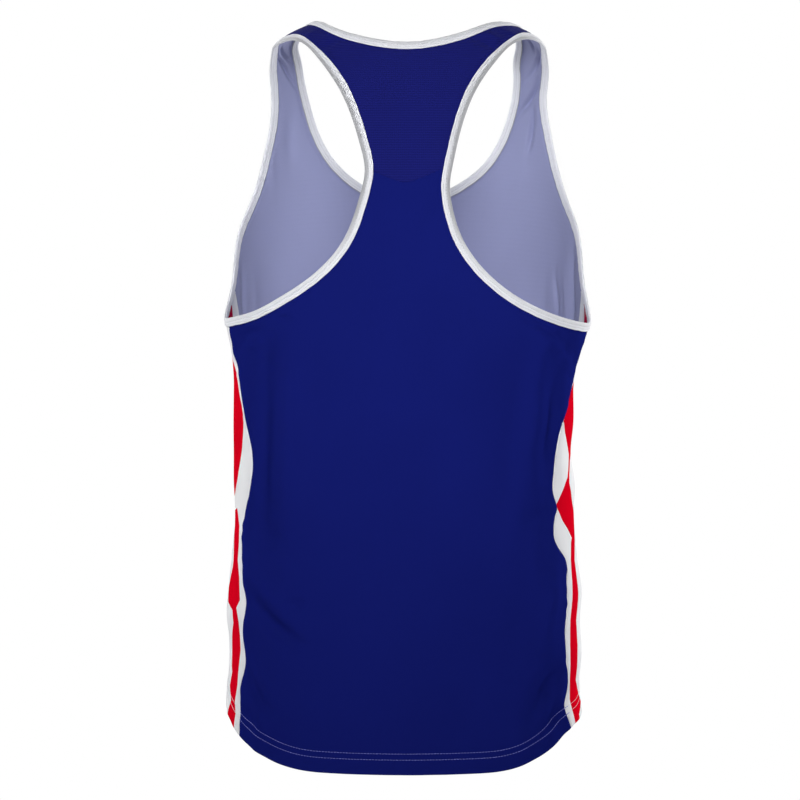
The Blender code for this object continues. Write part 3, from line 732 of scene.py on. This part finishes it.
class Nodes:
    """A material's node tree, with short calls to add and join nodes."""

    def __init__(self, name, roughness, sheen, shine=0.05):
        self.material = bpy.data.materials.new(name)
        self.material.use_nodes = True
        self.tree = self.material.node_tree
        self.shader = self.tree.nodes["Principled BSDF"]
        for socket, value in (("Roughness", roughness), ("Specular IOR Level", shine),
                              ("Sheen Weight", sheen), ("Sheen Roughness", 0.55)):
            self.shader.inputs[socket].default_value = value
        uv = self.add("ShaderNodeUVMap")
        uv.uv_map = "cloth"
        self.uv = uv.outputs["UV"]

    def add(self, kind, **settings):
        node = self.tree.nodes.new(kind)
        for key, value in settings.items():
            setattr(node, key, value)
        return node

    def join(self, source, target):
        self.tree.links.new(source, target)

    def math(self, operation, first, second=None):
        node = self.add("ShaderNodeMath", operation=operation)
        for socket, value in zip(node.inputs, (first, second)):
            if value is None:
                continue
            if isinstance(value, (int, float)):
                socket.default_value = value
            else:
                self.join(value, socket)
        return node.outputs[0]

    def times(self, first, second):
        return self.math("MULTIPLY", first, second)

    def plus(self, first, second):
        return self.math("ADD", first, second)

    def wave(self, along, pitch):
        """Ripple along a coordinate."""
        return self.math("SINE", self.times(along, 2 * np.pi / pitch))

    def position(self):
        """Coordinates of the piece itself, in metres."""
        return self.add("ShaderNodeTexCoord").outputs["Object"]

    def parts(self, where):
        node = self.add("ShaderNodeSeparateXYZ")
        self.join(where, node.inputs[0])
        return node.outputs[:3]

    def noise(self, scale, detail=3.0, where=None):
        node = self.add("ShaderNodeTexNoise")
        node.inputs["Scale"].default_value = scale
        node.inputs["Detail"].default_value = detail
        self.join(where or self.uv, node.inputs["Vector"])
        return node.outputs["Fac"]

    def ramp(self, value, stops):
        node = self.add("ShaderNodeValToRGB")
        elements = node.color_ramp.elements
        while len(elements) < len(stops):
            elements.new(0.5)
        for element, (at, colour) in zip(elements, stops):
            element.position = at
            element.color = (*colour, 1)
        self.join(value, node.inputs["Fac"])
        return node.outputs["Color"]

    def colour(self, value, stops):
        self.join(self.ramp(value, stops), self.shader.inputs["Base Color"])

    def uneven(self, scale, spread, low):
        """Roughness that wanders upwards from low."""
        self.join(self.plus(self.times(self.noise(scale), spread), low),
                  self.shader.inputs["Roughness"])

    def bump(self, height, depth):
        node = self.add("ShaderNodeBump")
        node.inputs["Distance"].default_value = depth
        self.join(height, node.inputs["Height"])
        self.join(node.outputs["Normal"], self.shader.inputs["Normal"])


def shade(colour, factor):
    return tuple(min(1.0, c * factor) for c in colour)


def knit(name, colour, wale=0.0011, course=0.0009, depth=0.00012, rough=0.82,
         sheen=0.12, vary=0.07, shine=0.05):
    """Plain jersey: columns of small V-shaped loops."""
    m = Nodes(name, rough, sheen, shine)
    u, v, _ = m.parts(m.uv)
    across = m.math("ABSOLUTE", m.wave(u, 2 * wale))
    rows = m.plus(m.times(v, 2 * np.pi / course), m.times(across, 1.3))
    loops = m.plus(m.times(across, 0.6), m.times(m.math("SINE", rows), 0.4))
    m.bump(m.plus(loops, m.times(m.noise(900.0), 0.5)), depth)
    tone = m.plus(m.times(m.noise(9.0, 4.0), 0.75), m.times(loops, 0.12))
    m.colour(tone, [(0.2, shade(colour, 1 - vary)), (0.75, shade(colour, 1 + vary))])
    m.uneven(60.0, 0.16, rough - 0.08)
    return m.material


def mesh_knit(name, colour, hole, pitch=0.0024, depth=0.00022, rough=0.85, sheen=0.15):
    """Fine ribbed mesh: level ribs with rows of small eyelets between them."""
    m = Nodes(name, rough, sheen)
    u, v, _ = m.parts(m.uv)
    rib = m.wave(v, pitch)
    low = m.math("SUBTRACT", 1.0, m.times(m.plus(rib, 1.0), 0.5))
    eyelet = m.times(low, m.math("MAXIMUM", m.wave(u, 0.7 * pitch), 0.0))
    m.bump(m.math("SUBTRACT", m.times(rib, 0.5), eyelet), depth)
    cloudy = m.plus(m.times(m.noise(14.0), 0.4), 0.35)
    tone = m.plus(m.times(eyelet, -0.30), m.plus(m.times(rib, 0.16), cloudy))
    m.colour(tone, [(0.1, hole), (0.6, colour), (0.9, shade(colour, 1.15))])
    m.uneven(80.0, 0.14, rough - 0.07)
    return m.material


def tape(name, colour, turned, rough=0.8):
    """Binding strip: fine ribs across it, with painted shade along its rows of stitches.

    The second flat coordinate runs from 0 at the outer leg's edge, over the fold.
    turned: painted shade of the outer leg between its rows, beside the fold and at it,
    on the upper back, where the edge turns away from the lamps.
    """
    m = Nodes(name, rough, 0.15)
    u, v, _ = m.parts(m.uv)
    height = m.plus(m.times(m.wave(u, 0.0012), 0.6), m.times(m.wave(v, 0.0008), 0.25))
    m.bump(m.plus(height, m.noise(700.0)), 0.00012)
    wander = m.times(m.math("SUBTRACT", m.noise(60.0), 0.5), 0.0006)
    share = m.times(m.plus(v, wander), 500 / BIND_WIDE)
    near, far = (0.5 * row / BIND_WIDE for row in BIND_ROWS)

    # painted shade across the strip: darker at both rows of stitches, towards the fold, and a painted
    # shadow line at the inner leg's edge
    def painted_shade_ramp(between, beside, fold):
        tones = [(0.0, 0.96), (0.475 - far, 0.96), (0.5 - far, 0.72), (0.525 - far, 0.93),
                 (0.475 - near, between), (0.5 - near, 0.58 * between),
                 (0.525 - near, beside), (0.49, fold), (0.51, 1.0), (0.48 + near, 1.0),
                 (0.5 + near, 0.72), (0.52 + near, 1.0), (0.48 + far, 1.0),
                 (0.5 + far, 0.76), (0.52 + far, 1.0), (0.945, 1.0), (0.972, 0.55),
                 (1.0, 0.42)]
        return m.ramp(share, [(at, shade(colour, tone)) for at, tone in tones])

    def fade(value, start, slope):
        return m.ramp(m.times(m.plus(value, start), slope), [(0, (0, 0, 0)), (1, (1, 1, 1))])

    # painted shade by place: high on the back, behind the body, the outer leg takes the darker turned
    # tones
    _, y, z = m.parts(m.position())
    upper_back_shade_mix = m.add("ShaderNodeMix", data_type="RGBA")
    m.join(m.times(fade(z, 0.235, 20.0), fade(y, 0.02, -25.0)), upper_back_shade_mix.inputs[0])
    m.join(painted_shade_ramp(0.92, 0.88, 0.80), upper_back_shade_mix.inputs[6])
    m.join(painted_shade_ramp(*turned), upper_back_shade_mix.inputs[7])
    m.join(upper_back_shade_mix.outputs[2], m.shader.inputs["Base Color"])
    m.uneven(90.0, 0.15, rough - 0.07)
    return m.material


def thread(name, colour):
    """Sewing thread: twisted, a little glossier than the cloth."""
    m = Nodes(name, 0.55, 0.1)
    twist = m.noise(1500.0, 2.0, m.position())
    m.colour(twist, [(0.3, shade(colour, 0.85)), (0.7, colour)])
    m.bump(twist, 0.00005)
    return m.material


BLUE = (0.0062, 0.0104, 0.136)
YOKE_BLUE = (0.0070, 0.0093, 0.130)
LAVENDER = (0.275, 0.293, 0.480)
WHITE = (0.78, 0.79, 0.83)
SIDE_WHITE = (0.76, 0.765, 0.785)
RED = (0.64, 0.0010, 0.0125)

blue_knit = knit("blue knit", BLUE, sheen=0.0, shine=0.0)
blue_inside = knit("blue knit, wrong side", LAVENDER, course=0.0013, depth=0.00010,
                   vary=0.04)
blue_mesh = mesh_knit("blue ribbed mesh", YOKE_BLUE, shade(YOKE_BLUE, 0.75), sheen=0.02)
mesh_inside = mesh_knit("ribbed mesh, wrong side", LAVENDER, shade(LAVENDER, 0.7))
side_white = knit("white knit", SIDE_WHITE, sheen=0.05, vary=0.03)
side_red = knit("red print", RED, sheen=0.0, shine=0.0, vary=0.05)
# inside of the red print: partly its wrong side, partly painted shade, so darker than the outside
red_inside_shaded = knit("red print, wrong side", (0.46, 0.008, 0.045), sheen=0.0, shine=0.0)
# the last tones are painted shade for each binding's outer leg on the upper back
neck_tape = tape("neck binding", WHITE, (0.86, 0.78, 0.66))
armhole_tape = tape("armhole binding", WHITE, (0.80, 0.54, 0.44))
lilac_thread = thread("hem thread", (0.16, 0.175, 0.58))
white_thread = thread("binding thread", (0.74, 0.75, 0.79))


# ---- the vest ----

def side_loops(tables, side):
    """Layout outlines of the printed stripe, and the same again at the front."""
    loops = []
    for rows in tables:
        loops.append(np.array([layout(side * t, h) for t, h in rows]))
        if max(h for _, h in rows) < -300:
            loops.append(np.array([layout(side * (180 - t), h) for t, h in rows]))
    return loops


def hem_lines(first, last):
    """Lines kept in the mesh along the hem, its stitching and its turn-up."""
    low, high = STITCH_ROWS
    marks = (low - 1.3, low, low + 1.3, high - 1.3, high, high + 1.0, HEM_DEEP + 0.7, 2.0,
             5.0)
    return [even(hem_line(first - 1, last + 1, mark), LINE) for mark in marks]


def panel(name, edges, materials, ends=None, patches=(), groove=-0.7):
    """Cloth inside its edges, given as (line, kind) in order, and over its hem.

    materials: outer, inner, then outer and inner of the patches; ends: the turns
    that its hem runs between; groove: rise of the cloth along its bindings.
    """
    sewn = [line for line, kind in edges if kind == "seam"]
    bound = [line for line, kind in edges if kind == "bound"]
    lines = [inward(line, False, deep) for line in sewn for deep in SEAM_LINES]
    if ends:
        lines = hem_lines(*ends) + lines
        edges = [(even(hem_line(*ends), LINE), "hem")] + edges
    lines += [inward(line, False, deep) for line in bound for deep in BOUND_LINES]
    inset = [[BOUND_INSET * (kind == "bound")] * (len(line) - 1) for line, kind in edges]
    loop = inward(join(*[line for line, _ in edges]), True, np.concatenate(inset))
    return shell(name + "_cloth", loop, lines, sewn, bound, materials, patches,
                 ends is not None, groove)


def build():
    """Every piece of the vest, by name."""
    left, right = sections(ARMHOLE_LEFT, -1), sections(ARMHOLE_RIGHT, 1)
    neck_rows = ([(-t, l) for t, l, _ in NECK[::-1] if t < 180]
                 + [(t, r) for t, _, r in NECK[1:]]
                 + [(360 - t, l) for t, l, _ in NECK[-2::-1] if t > 15])
    neck = through([layout(t, h) for t, h in neck_rows])
    stop = [i for i, (t, _) in enumerate(neck_rows) if t in (-90, 90, 270)]
    neck_back = even(neck(stop[0], stop[1]), LINE)[::-1]
    neck_front = even(neck(stop[1], stop[2]), LINE)[::-1]
    yoke_rows = [left[0][-1]] + [layout(t, h) for t, h in YOKE] + [right[0][-1]]
    yoke_seam = even(through(yoke_rows)(0, len(yoke_rows) - 1), LINE)
    back_left, turn_bl = seam(1, -1, left[1][-1])
    back_right, turn_br = seam(2, 1, right[1][-1])
    front_left, turn_fl = seam(3, -1, left[2][-1])
    front_right, turn_fr = seam(4, 1, right[2][-1])
    shoulder_right = even(np.array([right[0][0], neck_back[0]]), LINE)
    shoulder_left = even(np.array([left[0][0], neck_back[-1]]), LINE)
    over = np.array([FULL_TURN, 0])
    blue, side = [blue_knit, blue_inside], [side_white, side_white, side_red, red_inside_shaded]

    panels = {
        "back_panel": ([
            (back_right[::-1], "seam"), (right[1][::-1], "bound"),
            (yoke_seam[::-1], "seam"), (left[1], "bound"), (back_left, "seam")],
            blue, (turn_bl, turn_br)),
        "back_yoke": ([
            (yoke_seam, "seam"), (right[0][::-1], "bound"), (shoulder_right, "seam"),
            (neck_back, "bound"), (shoulder_left[::-1], "seam"), (left[0], "bound")],
            [blue_mesh, mesh_inside]),
        "front_panel": ([
            (front_left[::-1] + over, "seam"), (left[3] + over, "bound"),
            (shoulder_left + over, "seam"), (neck_front, "bound"),
            (shoulder_right[::-1], "seam"), (right[3][::-1], "bound"),
            (front_right, "seam")], blue, (turn_fr, 360 + turn_fl), (), 1.0),
        "side_panel_right": ([
            (front_right[::-1], "seam"), (right[2][::-1], "bound"), (back_right, "seam")],
            side, (turn_br, turn_fr), side_loops(RED_RIGHT, 1)),
        "side_panel_left": ([
            (back_left[::-1], "seam"), (left[2], "bound"), (front_left, "seam")],
            side, (turn_fl, turn_bl), side_loops(RED_LEFT, -1)),
    }
    made = {name: panel(name, *pattern) for name, pattern in panels.items()}

    edges = {"armhole_binding_left": join(*left),
             "armhole_binding_right": join(*right)[::-1],
             "neck_binding": join(neck_back, neck_front - over)}
    for name, edge in edges.items():
        armhole = name != "neck_binding"
        closed = np.concatenate([edge, edge[:1]])
        if not armhole:
            closed[-1] -= over
        edge = even(closed, BIND_STEP)[:-1]
        strip = armhole_tape if armhole else neck_tape
        made[name] = binding(name + "_strip", edge, strip, armhole)
        made[name + "_stitching"] = stitches(name + "_stitching", binding_rows(edge, armhole),
                                             white_thread, 0.22)
    hems = {"back": (turn_bl, turn_br, lilac_thread, 0.34),
            "front": (turn_fr, 360 + turn_fl, lilac_thread, 0.34),
            "right": (turn_br, turn_fr, white_thread, 0.2),
            "left": (turn_fl, turn_bl, white_thread, 0.2)}
    for part, (first, last, colour, radius) in hems.items():
        name = "hem_stitching_" + part
        made[name] = stitches(name, thread_rows(first, last), colour, radius)
    return made


made = build()

# what each piece was cut to: width and length in metres, flat area in square
# metres, what it hangs from or lies on, its slot, and what is sewn to it
CUT = {
    "back_panel": (0.445, 0.590, 0.181, "back_yoke", "blue_knit", ["hem_stitching_back"]),
    "back_yoke": (0.300, 0.170, 0.0247, "front_panel", "blue_mesh", []),
    "front_panel": (0.445, 0.765, 0.235, "back_yoke", "blue_knit", ["hem_stitching_front"]),
    "side_panel_left": (0.135, 0.455, 0.049, "front_panel", "side_knit",
                        ["hem_stitching_left"]),
    "side_panel_right": (0.135, 0.455, 0.049, "front_panel", "side_knit",
                         ["hem_stitching_right"]),
    "neck_binding": (0.022, 0.855, None, "front_panel", "white_strip",
                     ["neck_binding_stitching"]),
    "armhole_binding_left": (0.022, 0.840, None, "front_panel", "white_strip",
                             ["armhole_binding_left_stitching"]),
    "armhole_binding_right": (0.022, 0.850, None, "front_panel", "white_strip",
                              ["armhole_binding_right_stitching"]),
}
for name, thing in made.items():
    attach(thing, "root")
    if name in CUT:
        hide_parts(name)


# ---- floor, light and camera ----

def flat_floor(level, half):
    """Pale floor with a slightly uneven surface, well below the hem."""
    n = 13
    steps = np.linspace(-half, half, n)
    vertices = [(x * 1000, y * 1000, level * 1000 + 2 * np.sin(3 * x) * np.cos(2 * y))
                for y in steps for x in steps]
    faces = [(r * n + c, r * n + c + 1, (r + 1) * n + c + 1, (r + 1) * n + c)
             for r in range(n - 1) for c in range(n - 1)]
    m = Nodes("pale floor", 0.9, 0.0)
    m.colour(m.noise(6.0, 2.0, m.position()),
             [(0.3, (0.80, 0.80, 0.80)), (0.7, (0.83, 0.83, 0.83))])
    return mesh("floor", vertices, faces, [m.material])


floor = flat_floor(-1.15, 2.4)

world = bpy.data.worlds.new("studio")
world.use_nodes = True
tree = world.node_tree
backdrop, soft = tree.nodes["Background"], tree.nodes.new("ShaderNodeBackground")
for background, strength in ((backdrop, 1.0), (soft, 0.235)):
    background.inputs["Color"].default_value = (1, 1, 1, 1)
    background.inputs["Strength"].default_value = strength
seen, either = tree.nodes.new("ShaderNodeLightPath"), tree.nodes.new("ShaderNodeMixShader")
tree.links.new(seen.outputs["Is Camera Ray"], either.inputs[0])
tree.links.new(soft.outputs[0], either.inputs[1])
tree.links.new(backdrop.outputs[0], either.inputs[2])
tree.links.new(either.outputs[0], tree.nodes["World Output"].inputs[0])
bpy.context.scene.world = world
bpy.context.scene.view_settings.view_transform = "Standard"


def softbox(name, place_at, size, power, target=(0, 0, -0.35), spread=180):
    """Rectangular lamp that faces its target."""
    data = bpy.data.lights.new(name, "AREA")
    data.spread = np.radians(spread)
    data.shape = "RECTANGLE"
    data.size, data.size_y = size
    data.energy = power
    lamp = bpy.data.objects.new(name, data)
    lamp.location = place_at
    aim = Vector(target) - Vector(place_at)
    lamp.rotation_euler = aim.to_track_quat("-Z", "Y").to_euler()
    bpy.context.scene.collection.objects.link(lamp)


softbox("front", (0, -2.4, 0.12), (1.2, 0.5), 2.8, (0, 0, -0.2), 37)
softbox("left above", (-1.5, -1.9, 1.5), (0.8, 0.8), 15)
softbox("left side", (-1.6, 1.3, 0.2), (1.0, 1.0), 34)
softbox("right side", (1.6, 1.3, 0.2), (1.0, 1.0), 50)

data = bpy.data.cameras.new("photo camera")
data.sensor_width = 36
data.lens = 117
data.clip_end = 50
camera = bpy.data.objects.new("photo camera", data)
camera.location = (-0.008, -2.6, -0.365)
camera.rotation_euler = (np.pi / 2, 0, 0)
bpy.context.scene.collection.objects.link(camera)
bpy.context.scene.camera = camera
